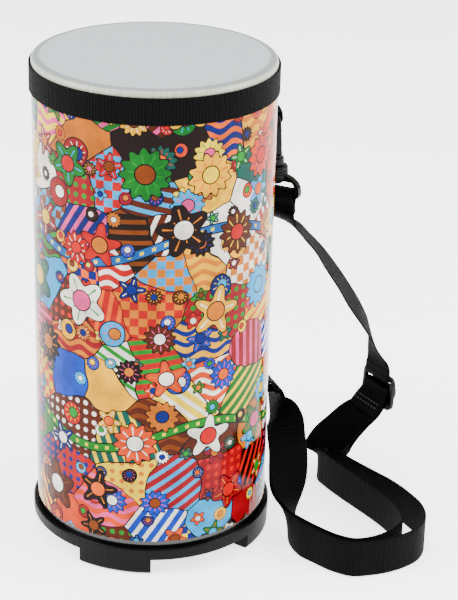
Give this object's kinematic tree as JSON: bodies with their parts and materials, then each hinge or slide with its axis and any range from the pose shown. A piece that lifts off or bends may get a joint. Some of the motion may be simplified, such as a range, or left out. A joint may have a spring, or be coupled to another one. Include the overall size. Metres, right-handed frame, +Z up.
{
  "type": "conga drum",
  "caption": "Small straight-sided conga with a flat film head, woven rim band, printed shell, ring with moulded feet, and a webbing carrying strap clipped on with swivel hooks.",
  "frame": {"origin": "centre of the drum's footprint at the floor", "axes": "+Z up along the drum's axis, front of the drum at -Y, strap lying towards +X"},
  "size_m": [0.2506, 0.1592, 0.3098],
  "materials": {
    "tube": "black lacquered fibre tube",
    "wrap": "glossy printed laminate, many bright colours",
    "head": "pale translucent film",
    "webbing": "black woven webbing",
    "moulding": "black satin moulding",
    "hardware_plastic": "black moulded plastic",
    "steel": "bright steel"
  },
  "bodies": {
    "drum": {"shell_tube": "tube", "shell_wrap": "wrap", "drumhead": "head", "rim_band": "webbing", "foot_ring": "moulding", "upper_tab": "webbing", "upper_tab_screw_1": "steel", "upper_tab_screw_2": "steel", "upper_tab_nut_1": "steel", "upper_tab_nut_2": "steel", "lower_tab": "webbing", "lower_tab_screw_1": "steel", "lower_tab_screw_2": "steel", "strap": "webbing"},
    "upper_hook": {"upper_hook_body": "hardware_plastic", "upper_gate_pin": "steel"},
    "upper_gate": {"upper_gate": "hardware_plastic"},
    "upper_loop": {"upper_swivel_loop": "hardware_plastic"},
    "lower_hook": {"lower_hook_body": "hardware_plastic", "lower_gate_pin": "steel"},
    "lower_gate": {"lower_gate": "hardware_plastic"},
    "lower_loop": {"lower_swivel_loop": "hardware_plastic"},
    "slider": {"slider": "hardware_plastic"}
  },
  "joints": [
    {"name": "upper_hook_swing", "type": "hinge", "parent": "drum", "child": "upper_hook", "pos_m": [0.07306, 0.03723, 0.2551], "axis": [0.891, 0.454, 0], "range_deg": [-45, 45], "deforming": ["upper_tab", "strap"]},
    {"name": "upper_gate_open", "type": "hinge", "parent": "upper_hook", "child": "upper_gate", "pos_m": [0.07268, 0.0444, 0.24235], "axis": [0.9861, 0.1556, 0.0581], "range_deg": [0, 38], "stiffness_Nm_per_rad": 0.01, "springref_deg": -20.05},
    {"name": "upper_loop_swivel", "type": "hinge", "parent": "upper_hook", "child": "upper_loop", "pos_m": [0.07446, 0.03794, 0.22945], "axis": [-0.0544, -0.0277, 0.9981], "range_deg": [-60, 4], "deforming": ["strap"]},
    {"name": "lower_hook_swing", "type": "hinge", "parent": "drum", "child": "lower_hook", "pos_m": [0.06462, 0.05048, 0.0305], "axis": [0.788, 0.6157, 0], "range_deg": [-45, 45], "deforming": ["lower_tab", "strap"]},
    {"name": "lower_gate_open", "type": "hinge", "parent": "lower_hook", "child": "lower_gate", "pos_m": [0.06949, 0.04553, 0.04338], "axis": [0.7865, 0.6145, -0.061], "range_deg": [0, 38], "stiffness_Nm_per_rad": 0.01, "springref_deg": -20.05},
    {"name": "lower_loop_swivel", "type": "hinge", "parent": "lower_hook", "child": "lower_loop", "pos_m": [0.06585, 0.05145, 0.05615], "axis": [-0.0481, -0.0376, -0.9981], "range_deg": [-60, 18], "deforming": ["strap"]},
    {"name": "slider_slide", "type": "slide", "parent": "drum", "child": "slider", "axis": [0.0499, 0, 0.9988], "range_m": [-0.01, 0.01], "deforming": ["strap"]}
  ]
}
